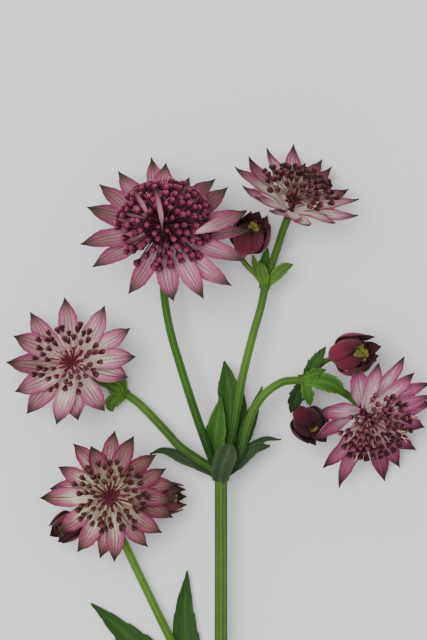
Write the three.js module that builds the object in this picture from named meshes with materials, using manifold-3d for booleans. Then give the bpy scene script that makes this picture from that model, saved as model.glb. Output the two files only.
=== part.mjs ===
// A cut spray of great masterwort, Astrantia major, lying on a flat surface with its blooms turned up.
// Millimetres. +Z is up from the surface, +Y runs from the cut end of the stem to the blooms.
// Places are given from the point of the surface under the cut end; the last lines move the whole
// spray so that its origin is under the middle of its outer box.

import * as THREE from "three";
import { mergeGeometries, mergeVertices } from "three/addons/utils/BufferGeometryUtils.js";
import Module from "manifold-3d";

const wasm = await Module();
wasm.setup();

// Gap kept between neighbouring pieces of the plant.
const GAP = 0.3;

// Stems: radius at the root and at the head, and how deep the furrows between the ribs are.
const MAIN_RADIUS = 1.65;
const BRANCH_ROOT_RADIUS = 1.0;
const BRANCH_RADIUS = 1.2;
const STALK_RADIUS = 0.7;
const FURROW = 0.12;

// Blades: thickness of bracts and leaves along their middle.
const BRACT_THICKNESS = 0.7;
const LEAF_THICKNESS = 0.7;

// The receptacle is the small disc at the top of the stem that holds bracts and florets.
const DISC_RADIUS = 2.4;
const DISC_HEIGHT = 1.5;
const OUTER_ROOT = 0.35;
const INNER_ROOT = 1.15;
const BRACT_ROOT_RADIUS = 0.8;
const CORE_BASE = DISC_HEIGHT + GAP;

// How full a blade stays towards its point: higher is fuller.
const POINT_FULLNESS = 1.5;
const BRACT_FULLNESS = 2;

// Where the branches leave the main stem.
const LOWER_NODE = [0, 37.5, 4.0];
const UPPER_NODE = [0, 103, 8.0];
const TOP_FORK = [11.2, 150.4, 7.1];
const RIGHT_FORK = [20.75, 126, 8.6];
const LEFT_FORK = [-24.6, 123, 2.1];

// Open blooms: middle of the receptacle's underside, the way the bloom looks, the bracts' length, width
// and rise above the bloom's plane, and for each bract its compass bearing seen from above and its share
// of that length. Then the dome of florets: how many, how long the inner and outer ones are, how far the
// outer ones lean out, their plump heads' radius, and the radius and height of the dense core they
// stand out of.
const BLOOMS = {
  top_left: {
    base: [-14.5, 162.3, 16], axis: [-0.03, 0.515, 0.857],
    bract: { length: 21, width: 5.1, rise: 9 },
    bracts: [
      [99, 1.03], [87, 0.93], [64, 0.82], [43, 0.94], [33, 0.98], [11, 1.04], [-1, 1.04], [-22, 1.11],
      [-40, 1.18], [-60, 1.14], [-81, 1.02], [-117, 1], [-152, 0.97], [-168, 1.01], [163, 0.97],
      [145, 1], [127, 1],
    ],
    florets: { count: 40, inner: 10, outer: 12.6, lean: 76, bead: 1.45, core: [7, 7] },
  },
  top_right: {
    base: [17, 167.5, 10.105], axis: [0.306, 0.79, 0.52],
    bract: { length: 19, width: 4.6, rise: 28 },
    bracts: [
      [178, 0.96], [167, 1.06], [147, 0.94], [131, 0.97], [99, 1.09], [76, 0.84], [51, 1.01], [32, 0.95],
      [3, 0.9], [-11, 0.95], [-25, 0.96], [-45, 0.9], [-78, 1], [-110, 1], [-140, 1], [-165, 1],
    ],
    florets: { count: 31, inner: 8, outer: 12, lean: 50, bead: 1.05, core: [3, 4.5] },
  },
  mid_right: {
    base: [35, 119, 8], axis: [0.403, -0.5, 0.765],
    bract: { length: 18.2, width: 4.8, rise: 21 },
    bracts: [
      [65, 1.14], [51, 0.99], [33, 1.04], [25, 1], [15, 1], [-6, 0.94], [-32, 1.02], [-58, 1.03],
      [-77, 1.12], [-106, 0.75], [-117, 1.13], [-138, 1], [-161, 0.9], [167, 0.99], [106, 1.03], [86, 1.08],
    ],
    florets: { count: 32, inner: 7, outer: 12.5, lean: 50, bead: 1.05, core: [2.8, 4] },
  },
  mid_left: {
    base: [-36.4, 129.4, 8], axis: [-0.195, 0.28, 0.94],
    bract: { length: 17, width: 5.3, rise: 19.4 },
    bracts: [
      [96, 1.05], [58, 1.03], [29, 1.06], [3, 1.07], [-15, 0.94], [-55, 1.04], [-83, 0.95], [-102, 1.05],
      [-130, 1.06], [-151, 1], [-179, 1.03], [157, 1.03], [130, 1.06],
    ],
    florets: { count: 30, inner: 6, outer: 11.5, lean: 52, bead: 0.95, core: [2.6, 3.6] },
  },
  low_left: {
    base: [-28.4, 97.6, 11], axis: [0.13, -0.05, 0.99],
    bract: { length: 16.7, width: 4.6, rise: 15 },
    bracts: [
      [85, 1.02], [68, 1.02], [41, 0.97], [26, 0.99], [10, 1.06], [-5, 1], [-19, 1.05], [-35, 1.01],
      [-53, 1], [-86, 1.03], [-98, 0.97], [-120, 1.01], [-144, 0.95], [-179, 1.1], [173, 0.92],
      [150, 0.93], [124, 0.98], [110, 0.84],
    ],
    florets: { count: 31, inner: 6, outer: 11.5, lean: 57, bead: 0.95, core: [2.6, 3.6] },
  },
};

// Buds still cupped: underside of the receptacle, the way the bud looks, length and greatest radius.
const BUDS = {
  top: { base: [5.6, 158.5, 3.5], axis: [0.26, 0.6, 0.76], length: 12.5, radius: 5.0, bracts: 8 },
  right: { base: [28.5, 131.75, 6.5], axis: [0.64, 0.15, 0.75], length: 13, radius: 5.3, bracts: 9 },
  mid: { base: [19.9, 118.1, 5.2], axis: [0.4, -0.5, 0.77], length: 10.5, radius: 4.7, bracts: 8 },
  low_left: { base: [-35.7, 91.5, 4.8], axis: [-0.59, -0.4, 0.7], length: 8.6, radius: 3.9, bracts: 7 },
  low_right: { base: [-19.5, 96.25, 4.4], axis: [0.9, 0.05, 0.36], length: 10.4, radius: 4.4, bracts: 8 },
};
const BUD_FLORETS = { count: 6, lean: 20, bead: 0.85, core: [1.4, 2.8] };
const BUD_FLORET_SHARE = 0.5;

const COLOURS = {
  stem: 0x6a9a3a,
  leaf: 0x3f7a2c,
  bract: 0xb9779a,
  floret: 0x7d3048,
  budBract: 0x6b2036,
  budFloret: 0x8f9a4f,
};

const point = ([x, y, z]) => new THREE.Vector3(x, y, z);

// A repeatable draw between -1 and 1 for the nth piece of a head.
function draw(seed, n) {
  const v = Math.sin(seed * 12.9898 + n * 78.233) * 43758.5453;
  return (v - Math.floor(v)) * 2 - 1;
}

// A closed geometry as a solid, with its seams merged and its collapsed faces dropped.
function solid(geometry) {
  const bare = new THREE.BufferGeometry()
    .setAttribute("position", geometry.getAttribute("position"))
    .setIndex(geometry.index);
  const merged = mergeVertices(bare, 1e-4);
  const kept = [];
  const index = merged.index.array;
  for (let i = 0; i < index.length; i += 3) {
    const [a, b, c] = [index[i], index[i + 1], index[i + 2]];
    if (a !== b && b !== c && a !== c) kept.push(a, b, c);
  }
  return new wasm.Manifold(
    new wasm.Mesh({
      numProp: 3,
      vertProperties: merged.getAttribute("position").array,
      triVerts: new Uint32Array(kept),
    }),
  );
}

const fused = (solids) => solids.reduce((whole, next) => whole.add(next));

// What is left of a piece once its neighbours, with their gap, are cut away.
function clearOf(piece, neighbours) {
  const cut = neighbours.reduce((left, n) => left.subtract(n), piece);
  return cut.decompose().sort((a, b) => b.volume() - a.volume())[0];
}

// Turns and moves a geometry that was made along +Y so that it starts at a place and runs along an axis.
function stood(geometry, place, axis) {
  const turn = new THREE.Quaternion().setFromUnitVectors(new THREE.Vector3(0, 1, 0), axis);
  return geometry.applyMatrix4(
    new THREE.Matrix4().compose(place, turn, new THREE.Vector3(1, 1, 1)),
  );
}

// A ribbed round stalk along a smooth line through the given points.
function stalk(points, radiusAt, { ribs = 5, steps = 12, grow = 0 } = {}) {
  const line = new THREE.CatmullRomCurve3(points.map(point), false, "centripetal");
  const { normals, binormals } = line.computeFrenetFrames(steps);
  const tube = new THREE.CylinderGeometry(1, 1, 1, 2 * ribs, steps);
  const at = tube.getAttribute("position");
  for (let i = 0; i < at.count; i++) {
    const [x, y, z] = [at.getX(i), at.getY(i), at.getZ(i)];
    const ring = Math.round((y + 0.5) * steps);
    const crest = Math.cos(ribs * Math.atan2(x, z));
    const radius = (radiusAt(ring / steps) + grow) * (1 - (grow ? 0 : FURROW * 0.5 * (1 - crest)));
    const place = line
      .getPointAt(ring / steps)
      .addScaledVector(binormals[ring], x * radius)
      .addScaledVector(normals[ring], z * radius);
    at.setXYZ(i, place.x, place.y, place.z);
  }
  return solid(tube);
}

// A thin blade: an upper and a lower sheet, split alike, that meet along both edges.
// stations are shares of the length, and centre, face, half and thick say what the blade is there.
function blade({ stations, centre, face, half, thick, lift = 0.2 }) {
  const steps = stations.length - 1;
  const sheet = (side) => {
    const plane = new THREE.PlaneGeometry(2, 1, 2, steps);
    const at = plane.getAttribute("position");
    for (let i = 0; i < at.count; i++) {
      const s = stations[Math.round((0.5 + at.getY(i)) * steps)];
      const across = at.getX(i);
      const near = 1e-3;
      const along = centre(Math.min(1, s + near)).sub(centre(Math.max(0, s - near))).normalize();
      const up = face.clone().addScaledVector(along, -face.dot(along)).normalize();
      const sideways = along.clone().cross(up);
      const rise = side * (1 - Math.abs(across)) * 0.5 * thick(s) + lift * half(s) * Math.abs(across);
      const place = centre(s).addScaledVector(sideways, across * half(s)).addScaledVector(up, rise);
      at.setXYZ(i, place.x, place.y, place.z);
    }
    if (side < 0) plane.index.array.reverse();
    return plane;
  };
  return solid(mergeGeometries([sheet(1), sheet(-1)]));
}

// A bract's or leaf lobe's half width, as a share of its greatest half width.
function lanceOutline(s, root, widest, fullness = POINT_FULLNESS) {
  if (s < widest) return root + (1 - root) * Math.sin((Math.PI / 2) * (s / widest));
  return 1 - Math.pow((s - widest) / (1 - widest), fullness);
}

const thickness = (full) => (s) => (s <= 0 || s >= 1 ? 0 : full);

// The way a bract points in its bloom's plane, from its bearing seen from above.
function bearingInPlane(axis, degrees) {
  const a = THREE.MathUtils.degToRad(degrees);
  const [x, y] = [Math.cos(a), Math.sin(a)];
  return new THREE.Vector3(x, y, -(x * axis.x + y * axis.y) / axis.z).normalize();
}

// The small disc that holds a head, widening from the stem.
function receptacle(base, axis) {
  const disc = new THREE.CylinderGeometry(DISC_RADIUS, DISC_RADIUS * 0.6, DISC_HEIGHT, 10);
  return solid(stood(disc.translate(0, DISC_HEIGHT / 2, 0), base, axis));
}

// The star of bracts of an open bloom: two whorls, taken in turn, rooted in the receptacle.
function bractStar(bloom, seed) {
  const base = point(bloom.base);
  const axis = point(bloom.axis).normalize();
  const { length, width, rise } = bloom.bract;
  const bracts = bloom.bracts.map(([bearing, share], n) => {
    const outward = bearingInPlane(axis, bearing);
    const reach = length * share;
    const inside = n % 2;
    const slope = THREE.MathUtils.degToRad(rise + (inside ? 1.5 : -1.5) + 1.2 * draw(seed + 1, n));
    const root = inside ? INNER_ROOT : OUTER_ROOT;
    const half = (width / 2) * (1 + 0.1 * draw(seed + 2, n));
    return blade({
      stations: [0, 0.3, 0.6, 0.84, 1],
      centre: (s) =>
        base
          .clone()
          .addScaledVector(outward, BRACT_ROOT_RADIUS + (reach * Math.cos(slope) - BRACT_ROOT_RADIUS) * s)
          .addScaledVector(axis, root * (1 - s) + reach * (Math.sin(slope) * s + 0.2 * s * (1 - s) ** 2)),
      face: axis,
      half: (s) => half * lanceOutline(s, 0.26, 0.6, BRACT_FULLNESS),
      thick: thickness(BRACT_THICKNESS),
      lift: inside ? 0.2 : 0.02,
    });
  });
  return fused([receptacle(base, axis), ...bracts]);
}

// One floret: a thin stalk with a plump closed head, three sided.
function floret(start, neck, end, bead) {
  const slim = 0.32;
  const profile = [
    [0, start],
    [slim, start + slim],
    [slim, neck],
    [bead, end - bead * 0.8],
    [0, end],
  ];
  return new THREE.LatheGeometry(profile.map(([r, y]) => new THREE.Vector2(r, y)), 3);
}

// Florets set in golden angle order round a small core, the outer ones longer and leaning out.
function floretDome(base, axis, { count, inner, outer, lean, bead, core }, seed) {
  const [wide, high] = core;
  const profile = [
    [0, 0],
    [1.1, 0],
    [wide, 0.5 * high],
    [0.85 * wide, 0.8 * high],
    [0, high],
  ];
  const knob = new THREE.LatheGeometry(profile.map(([r, y]) => new THREE.Vector2(r, y)), 9);
  const foot = base.clone().addScaledVector(axis, CORE_BASE);
  const middle = foot.clone().addScaledVector(axis, 0.3 * high);
  const heads = [solid(stood(knob, foot, axis))];
  const side = new THREE.Vector3(1, 0, 0).cross(axis).normalize();
  const goldenAngle = Math.PI * (3 - Math.sqrt(5));
  const widest = THREE.MathUtils.degToRad(lean);
  for (let n = 0; n < count; n++) {
    const tilt = Math.acos(1 - ((1 - Math.cos(widest)) * (n + 0.5)) / count);
    const way = side.clone().applyAxisAngle(axis, n * goldenAngle);
    const direction = axis.clone().multiplyScalar(Math.cos(tilt)).addScaledVector(way, Math.sin(tilt));
    const reach = (inner + (outer - inner) * (tilt / widest)) * (1 + 0.05 * draw(seed + 3, n));
    const size = bead * (0.8 + 0.2 * (tilt / widest));
    heads.push(solid(stood(floret(0.55 * wide, reach - 2.2 * size, reach, size), middle, direction)));
  }
  return fused(heads);
}

// The cupped bracts of a bud: two whorls that bulge out and close in again.
function budCup(bud, seed) {
  const base = point(bud.base);
  const axis = point(bud.axis).normalize();
  const side = new THREE.Vector3(0, 0, 1).cross(axis).normalize();
  const width = (2.2 * Math.PI * bud.radius) / bud.bracts;
  const bracts = [];
  for (let n = 0; n < bud.bracts; n++) {
    const inside = n % 2;
    const turn = (2 * Math.PI * (n + 0.2 * draw(seed, n))) / bud.bracts;
    const outward = side.clone().applyAxisAngle(axis, turn);
    const bulge = bud.radius - 0.9 * inside;
    const reach = bud.length * (1 + 0.06 * draw(seed + 1, n));
    bracts.push(
      blade({
        stations: [0, 0.28, 0.58, 0.82, 1],
        centre: (s) =>
          base
            .clone()
            .addScaledVector(outward, 0.4 + (bulge - 0.4) * Math.sin(Math.PI * Math.pow(s, 0.75) * 0.78))
            .addScaledVector(axis, (inside ? INNER_ROOT : OUTER_ROOT) + reach * s * (0.55 + 0.45 * s)),
        face: outward.clone().negate(),
        half: (s) => (width / 2) * lanceOutline(s, 0.3, 0.55),
        thick: thickness(BRACT_THICKNESS),
        lift: 0.25,
      }),
    );
  }
  return fused([receptacle(base, axis), ...bracts]);
}

// A leaf lobe with forward pointing teeth, along a smooth line through the given points.
function lobe({ points, width, teeth = 4, face = [0, 0, 1], root = 0.45, widest = 0.5 }) {
  const line = new THREE.CatmullRomCurve3(points.map(point), false, "centripetal");
  const stations = [0];
  for (let k = 0; k < teeth; k++) {
    if (k) stations.push(k / teeth);
    stations.push((k + 0.75) / teeth);
  }
  stations.push(1);
  const notch = (s) => (s > 0 && s < 1 && Math.abs(s * teeth - Math.round(s * teeth)) < 1e-6 ? 0.84 : 1);
  return blade({
    stations,
    centre: (s) => line.getPointAt(s),
    face: point(face).normalize(),
    half: (s) => (width / 2) * notch(s) * lanceOutline(s, root, widest),
    thick: thickness(LEAF_THICKNESS),
    lift: 0.12,
  });
}

// The sheath at the foot of a leaf or whorl, which clasps the stem.
function sheath(place, axis, low, high, length) {
  const cup = new THREE.CylinderGeometry(high, low, length, 12);
  return solid(stood(cup, point(place), point(axis).normalize()));
}

// Stems. Each is a list of places along its middle line; those of a bloom's or bud's stem end under it.
function under(head, depth) {
  return point(head.base).addScaledVector(point(head.axis).normalize(), -depth).toArray();
}

const mainSwell = (s) => MAIN_RADIUS * (1 - 0.05 * s);
const branchTaper = (s) => {
  const grown = Math.min(1, s * 8);
  return BRANCH_ROOT_RADIUS + (BRANCH_RADIUS - BRANCH_ROOT_RADIUS) * grown - 0.2 * s;
};
const stalkTaper = () => STALK_RADIUS;

const STEMS = {
  stem_main: {
    points: [[0, 0, 1.45], [0, 20, 2.7], LOWER_NODE, [0, 70, 6], UPPER_NODE],
    radius: mainSwell, ribs: 6, steps: 6,
  },
  stem_top_left: {
    points: [
      [-1.15, 103.9, 9.0], [-3, 108.5, 9.3], [-6.25, 117.5, 9.2], [-10.25, 130, 8.6],
      [-12.75, 138.75, 8.1], [-14.25, 147.5, 7.8], [-14.5, 155, 8.4],
      under(BLOOMS.top_left, 4.5), under(BLOOMS.top_left, GAP),
    ],
    radius: branchTaper, ribs: 5, steps: 12,
  },
  stem_top_right: {
    points: [
      [0.75, 103.9, 7.0], [2, 108, 7.2], [2.9, 111.5, 7.4], [4, 118.75, 7.8], [5.5, 127.5, 8],
      [8, 137.5, 8], [10.25, 145.5, 7.6], TOP_FORK, [12.15, 153.25, 6.7], [14.4, 160.1, 5.4],
      under(BLOOMS.top_right, 4.5), under(BLOOMS.top_right, GAP),
    ],
    radius: branchTaper, ribs: 5, steps: 12,
  },
  stem_mid_right: {
    points: [
      [1.0, 103.9, 9.2], [4.7, 107.75, 9.8], [6.2, 113.1, 10.1], [8.15, 118.8, 10.2],
      [11, 122.8, 10], [14.8, 125.5, 9.6], [17.3, 126.1, 9.2], RIGHT_FORK, [26, 125, 5.6],
      [30.5, 123.2, 3.2], under(BLOOMS.mid_right, 4.5), under(BLOOMS.mid_right, GAP),
    ],
    radius: branchTaper, ribs: 5, steps: 12,
  },
  stem_mid_left: {
    points: [
      [-1.3, 103.5, 6.9], [-5.25, 106, 6.8], [-10.25, 109.5, 6.0], [-14, 113.5, 4.9],
      [-17.75, 117.5, 3.8], [-21.5, 121, 2.7], LEFT_FORK, [-29, 125.2, 1.1], [-32.6, 126.8, 1.0],
      under(BLOOMS.mid_left, 4.5), under(BLOOMS.mid_left, GAP),
    ],
    radius: branchTaper, ribs: 5, steps: 12,
  },
  stem_low_left: {
    points: [
      LOWER_NODE, [-3.5, 43.5, 4.2], [-8, 52.2, 4], [-12.75, 61.25, 3.6], [-18.5, 73, 3.1],
      [-24.25, 85, 2.6], [-27.2, 91.6, 3.0], under(BLOOMS.low_left, 5),
      under(BLOOMS.low_left, GAP),
    ],
    radius: branchTaper, ribs: 5, steps: 12,
  },
  stalk_bud_top: {
    points: [TOP_FORK, [8.7, 152.7, 6.2], [6.4, 155, 4.3], [5.2, 157, 3.1], under(BUDS.top, GAP)],
  },
  stalk_bud_right: {
    points: [
      RIGHT_FORK, [23, 128.2, 8.4], [25.4, 130.4, 7.2], under(BUDS.right, 1.6),
      under(BUDS.right, GAP),
    ],
  },
  stalk_bud_mid: {
    points: [
      RIGHT_FORK, [19.7, 123.4, 7.6], [18.7, 120.8, 5.8], under(BUDS.mid, 1.2),
      under(BUDS.mid, GAP),
    ],
  },
  stalk_bud_low_left: {
    points: [
      [-25.8, 88.5, 2.8], [-29.5, 91.6, 2.5], [-33.3, 93.0, 2.9], under(BUDS.low_left, 1.6),
      under(BUDS.low_left, GAP),
    ],
  },
  stalk_bud_low_right: {
    points: [[-26.3, 90, 2.9], [-24.6, 93.4, 2.6], [-22.2, 95.8, 3.0], under(BUDS.low_right, GAP)],
  },
};

// Leaves. Each whorl is a sheath round its node and the lobes that spring from it.
const LEAVES = {
  leaves_upper_node: {
    sheath: { place: UPPER_NODE, axis: [0, 1, 0.04], low: 2.2, high: 3.0, length: 3.6 },
    lobes: [
      {
        points: [
          [-1.4, 102.4, 6.6], [-5, 104.4, 4.7], [-10, 106.7, 3.8], [-14.5, 108.2, 4.2],
          [-17.8, 107.4, 5.2],
        ],
        width: 3.2, teeth: 3,
      },
      {
        points: [[0.3, 101.8, 9.8], [0.7, 104.8, 11.6], [1.1, 107.8, 12.2], [1.4, 110.4, 11.8]],
        width: 6.6, teeth: 2, widest: 0.6,
      },
      {
        points: [[1.4, 102.6, 8.4], [4.6, 105.3, 8.4], [8.2, 108.9, 8.0], [12.3, 110.4, 7.4]],
        width: 3.4, teeth: 3,
      },
      {
        points: [
          [1.2, 103, 7.4], [3.4, 104.9, 7.2], [7.6, 109, 6.6], [11, 111.2, 6.6],
          [15.1, 111.3, 7.4],
        ],
        width: 2.2, teeth: 2,
      },
      {
        points: [[-0.9, 104.2, 6.4], [-1.6, 108.5, 5.0], [-1.2, 114, 4.9], [0, 122, 5.2]],
        width: 5.2, teeth: 4,
      },
      {
        points: [[0.3, 104.2, 5.9], [1.5, 110, 3.9], [2.2, 118, 3.4], [1.6, 126, 3.8], [0.8, 131, 4.4]],
        width: 5.6, teeth: 5, widest: 0.7,
      },
      {
        points: [[1.3, 104.2, 6.3], [4, 112, 4.6], [5.4, 118, 4.6], [5.2, 124.2, 5.0]],
        width: 3.4, teeth: 3,
      },
      {
        points: [[1.9, 104, 7.2], [5.8, 112, 6.6], [8.2, 118.6, 7.0], [10.3, 124.6, 7.8]],
        width: 3.6, teeth: 3,
      },
    ],
    around: ["stem_main", "stem_top_left", "stem_top_right", "stem_mid_right", "stem_mid_left"],
  },
  leaves_right_fork: {
    sheath: { place: [20.3, 126.1, 8.7], axis: [1, -0.05, -0.1], low: 1.7, high: 2.1, length: 2.2 },
    lobes: [
      {
        points: [[20.9, 126.8, 9.0], [22.8, 129.6, 10.0], [24.6, 132.2, 10.6], [26.1, 134.6, 10.2]],
        width: 3.4, teeth: 3,
      },
      { points: [[20.8, 126.6, 9.6], [23.4, 127.9, 10.9], [26.2, 128.9, 11.0]], width: 2.8, teeth: 3 },
      {
        points: [[20.9, 126.0, 9.8], [24.2, 126.1, 10.6], [27.8, 125.1, 10.6], [31.1, 122.9, 10.0]],
        width: 4.4, teeth: 4, widest: 0.55,
      },
      {
        points: [[20.3, 125.4, 9.2], [19.2, 122.8, 9.8], [18.2, 120.3, 9.4], [17.5, 118, 8.6]],
        width: 4.0, teeth: 3,
      },
      { points: [[20.8, 125.4, 9.4], [21.7, 122.8, 10.0], [22.4, 119.9, 9.4]], width: 3.4, teeth: 3 },
    ],
    around: ["stem_mid_right", "stalk_bud_right", "stalk_bud_mid"],
  },
  leaves_top_fork: {
    sheath: { place: [11.0, 149.9, 7.2], axis: [0.25, 1, -0.1], low: 1.6, high: 2.0, length: 2.0 },
    lobes: [
      {
        points: [[11.8, 150.2, 7.8], [14, 152.7, 8.6], [16, 154.4, 8.7], [18.0, 155.2, 8.2]],
        width: 3.6, teeth: 3,
      },
      {
        points: [[11.2, 150.8, 6.0], [10.9, 154, 4.6], [11.2, 157, 4.6], [11.6, 159.3, 5.0]],
        width: 3.2, teeth: 3,
      },
      { points: [[10.4, 150.6, 7.8], [9.1, 153.8, 8.4], [7.8, 157.5, 8.6]], width: 2.8, teeth: 3 },
      { points: [[11.0, 150.3, 8.7], [10.4, 153, 9.9], [9.8, 155.5, 10.0]], width: 3.2, teeth: 2 },
    ],
    around: ["stem_top_right", "stalk_bud_top"],
  },
  leaves_left_fork: {
    sheath: { place: [-24.4, 122.9, 2.2], axis: [-0.85, 0.5, -0.2], low: 1.5, high: 1.75, length: 2.0 },
    lobes: [
      {
        points: [[-24.4, 122.0, 2.9], [-26.5, 121.3, 3.9], [-27.6, 120, 3.7], [-27.2, 118.3, 2.8]],
        width: 3.6, teeth: 3,
      },
      { points: [[-24.8, 122.9, 3.6], [-26.8, 124.3, 4.4], [-29.4, 125.3, 4.8]], width: 3.6, teeth: 3 },
      { points: [[-24.2, 123.6, 2.9], [-25.2, 126, 3.9], [-27.4, 128.6, 4.3]], width: 3.0, teeth: 3 },
    ],
    around: ["stem_mid_left"],
  },
  leaf_lower_node: {
    sheath: { place: [0, 37.6, 4.0], axis: [0, 1, 0.06], low: 2.3, high: 2.9, length: 4.5 },
    lobes: [
      {
        points: [[-1.2, 38.5, 3.4], [-9, 47, 1.6], [-19, 57.5, 0.8], [-27, 65, 0.9], [-32.75, 70, 1.7]],
        width: 8.4, teeth: 8, root: 0.5,
      },
      {
        points: [
          [-1.0, 38.9, 3.2], [-5, 48, 1.5], [-8.6, 59, 1.0], [-9.2, 68, 1.1], [-8.5, 78.25, 2.0],
        ],
        width: 7.4, teeth: 7, root: 0.5,
      },
      {
        points: [[1.0, 38.5, 3.4], [5.2, 44, 1.9], [9.6, 50.2, 1.0], [13, 57, 1.6]],
        width: 6.6, teeth: 6, root: 0.5,
      },
    ],
    around: ["stem_main", "stem_low_left"],
  },
};

// What each branch springs from, and is cut clear of.
const SPRINGS_FROM = {
  stem_low_left: ["stem_main"],
  stalk_bud_top: ["stem_top_right"],
  stalk_bud_right: ["stem_mid_right"],
  stalk_bud_mid: ["stem_mid_right", "stalk_bud_right"],
  stalk_bud_low_left: ["stem_low_left"],
  stalk_bud_low_right: ["stem_low_left", "stalk_bud_low_left"],
};

const stemSolid = (name, grow = 0) => {
  const { points, radius = stalkTaper, ribs = 4, steps = 8 } = STEMS[name];
  return stalk(points, radius, { ribs, steps, grow });
};

const spray = new THREE.Group();

// Adds a finished solid to the spray as a named mesh.
function add(name, made, colour, roughness = 0.6) {
  const { vertProperties, triVerts, numProp } = made.getMesh();
  const places = new Float32Array((vertProperties.length / numProp) * 3);
  for (let i = 0; i < places.length / 3; i++) {
    places.set(vertProperties.subarray(i * numProp, i * numProp + 3), i * 3);
  }
  const geometry = new THREE.BufferGeometry()
    .setAttribute("position", new THREE.BufferAttribute(places, 3))
    .setIndex(new THREE.BufferAttribute(triVerts, 1));
  geometry.computeVertexNormals();
  const material = new THREE.MeshStandardMaterial({ color: colour, roughness, metalness: 0 });
  const mesh = new THREE.Mesh(geometry, material);
  mesh.name = name;
  spray.add(mesh);
}

for (const name of Object.keys(STEMS)) {
  const parents = (SPRINGS_FROM[name] ?? []).map((parent) => stemSolid(parent, GAP));
  add(name, clearOf(stemSolid(name), parents), COLOURS.stem, 0.5);
}

for (const [name, { sheath: s, lobes, around }] of Object.entries(LEAVES)) {
  const whorl = fused([sheath(s.place, s.axis, s.low, s.high, s.length), ...lobes.map(lobe)]);
  add(name, clearOf(whorl, around.map((stem) => stemSolid(stem, GAP))), COLOURS.leaf);
}

Object.entries(BLOOMS).forEach(([name, bloom], n) => {
  const base = point(bloom.base);
  const axis = point(bloom.axis).normalize();
  add("bracts_" + name, bractStar(bloom, 10 * n), COLOURS.bract);
  add("florets_" + name, floretDome(base, axis, bloom.florets, 10 * n), COLOURS.floret);
});

Object.entries(BUDS).forEach(([name, bud], n) => {
  const base = point(bud.base);
  const axis = point(bud.axis).normalize();
  const reach = bud.length * BUD_FLORET_SHARE;
  const florets = { ...BUD_FLORETS, inner: reach, outer: reach };
  add("bud_bracts_" + name, budCup(bud, 100 + 10 * n), COLOURS.budBract);
  add("bud_florets_" + name, floretDome(base, axis, florets, 100 + 10 * n), COLOURS.budFloret);
});

// The origin goes under the middle of the outer box, on the surface.
const box = new THREE.Box3().setFromObject(spray);
spray.position.set(-(box.min.x + box.max.x) / 2, -(box.min.y + box.max.y) / 2, -box.min.z);

export default spray;
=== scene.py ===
import math

import bpy
import numpy as np
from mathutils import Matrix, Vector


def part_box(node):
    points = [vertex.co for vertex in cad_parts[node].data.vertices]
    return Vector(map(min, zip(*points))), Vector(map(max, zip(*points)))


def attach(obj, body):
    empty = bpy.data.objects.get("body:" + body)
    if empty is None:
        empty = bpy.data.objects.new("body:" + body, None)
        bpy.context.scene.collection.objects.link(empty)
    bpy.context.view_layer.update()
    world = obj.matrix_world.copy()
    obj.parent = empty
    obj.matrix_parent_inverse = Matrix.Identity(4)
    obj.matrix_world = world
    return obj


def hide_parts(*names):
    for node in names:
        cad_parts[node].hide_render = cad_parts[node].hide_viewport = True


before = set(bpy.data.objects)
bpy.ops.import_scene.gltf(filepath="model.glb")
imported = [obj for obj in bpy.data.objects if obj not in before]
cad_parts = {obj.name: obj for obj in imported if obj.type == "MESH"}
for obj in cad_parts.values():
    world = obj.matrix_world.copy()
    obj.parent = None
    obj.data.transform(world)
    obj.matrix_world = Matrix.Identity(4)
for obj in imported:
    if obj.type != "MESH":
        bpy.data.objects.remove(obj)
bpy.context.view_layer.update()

# STEMS. The main stem is cut at its foot and branches at two nodes; each branch carries one head.
# They are grown, ribbed green stalks. Every piece is modelled in millimetres from the point on the
# surface under the cut end, and then settled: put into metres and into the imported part's place.
MILLIMETRE = 0.001
stem_low, stem_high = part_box("stem_main")
under_cut_end = np.array([(stem_low.x + stem_high.x) / 2, stem_low.y + 0.0001, 0])


def unit(v):
    """The same way, one long, for three numbers or rows of them."""
    return v / np.maximum(np.linalg.norm(v, axis=-1, keepdims=True), 1e-9)


def places(piece):
    co = np.empty(len(piece.data.vertices) * 3)
    piece.data.vertices.foreach_get("co", co)
    return co.reshape(-1, 3)


def put(piece, co):
    piece.data.vertices.foreach_set("co", np.ravel(co))
    piece.data.update()


def mark(piece, name, values):
    """A value at each vertex that the piece's material reads."""
    held = piece.data.attributes.get(name) or piece.data.attributes.new(name, "FLOAT", "POINT")
    held.data.foreach_set("value", np.broadcast_to(values, len(piece.data.vertices)).astype(float))


def only(*pieces):
    bpy.ops.object.select_all(action="DESELECT")
    for piece in pieces:
        piece.select_set(True)
    bpy.context.view_layer.objects.active = pieces[0]


def grid(across, along):
    """A flat sheet, x from -1 to 1 across and y from 0 to 1 along."""
    bpy.ops.mesh.primitive_grid_add(x_subdivisions=across, y_subdivisions=along, size=2)
    sheet = bpy.context.object
    co = places(sheet)
    co[:, 1] = (co[:, 1] + 1) / 2
    put(sheet, co)
    return sheet


def smooth_line(points, steps):
    """Places at even steps along a smooth line through the points."""
    p = np.array(points, float)
    way = unit(np.gradient(p, axis=0))
    t = np.linspace(0, 1, 24, endpoint=False)[:, None]
    dense = []
    for a, b, wa, wb in zip(p[:-1], p[1:], way[:-1], way[1:]):
        reach = np.linalg.norm(b - a)
        dense.append(
            a * (1 + 2 * t) * (1 - t) ** 2
            + b * t * t * (3 - 2 * t)
            + reach * wa * t * (1 - t) ** 2
            + reach * wb * t * t * (t - 1)
        )
    dense = np.concatenate(dense + [p[-1:]])
    run = np.r_[0, np.cumsum(np.linalg.norm(np.diff(dense, axis=0), axis=1))]
    even = np.linspace(0, run[-1], steps + 1)
    return np.stack([np.interp(even, run, dense[:, k]) for k in range(3)], 1)


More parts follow.
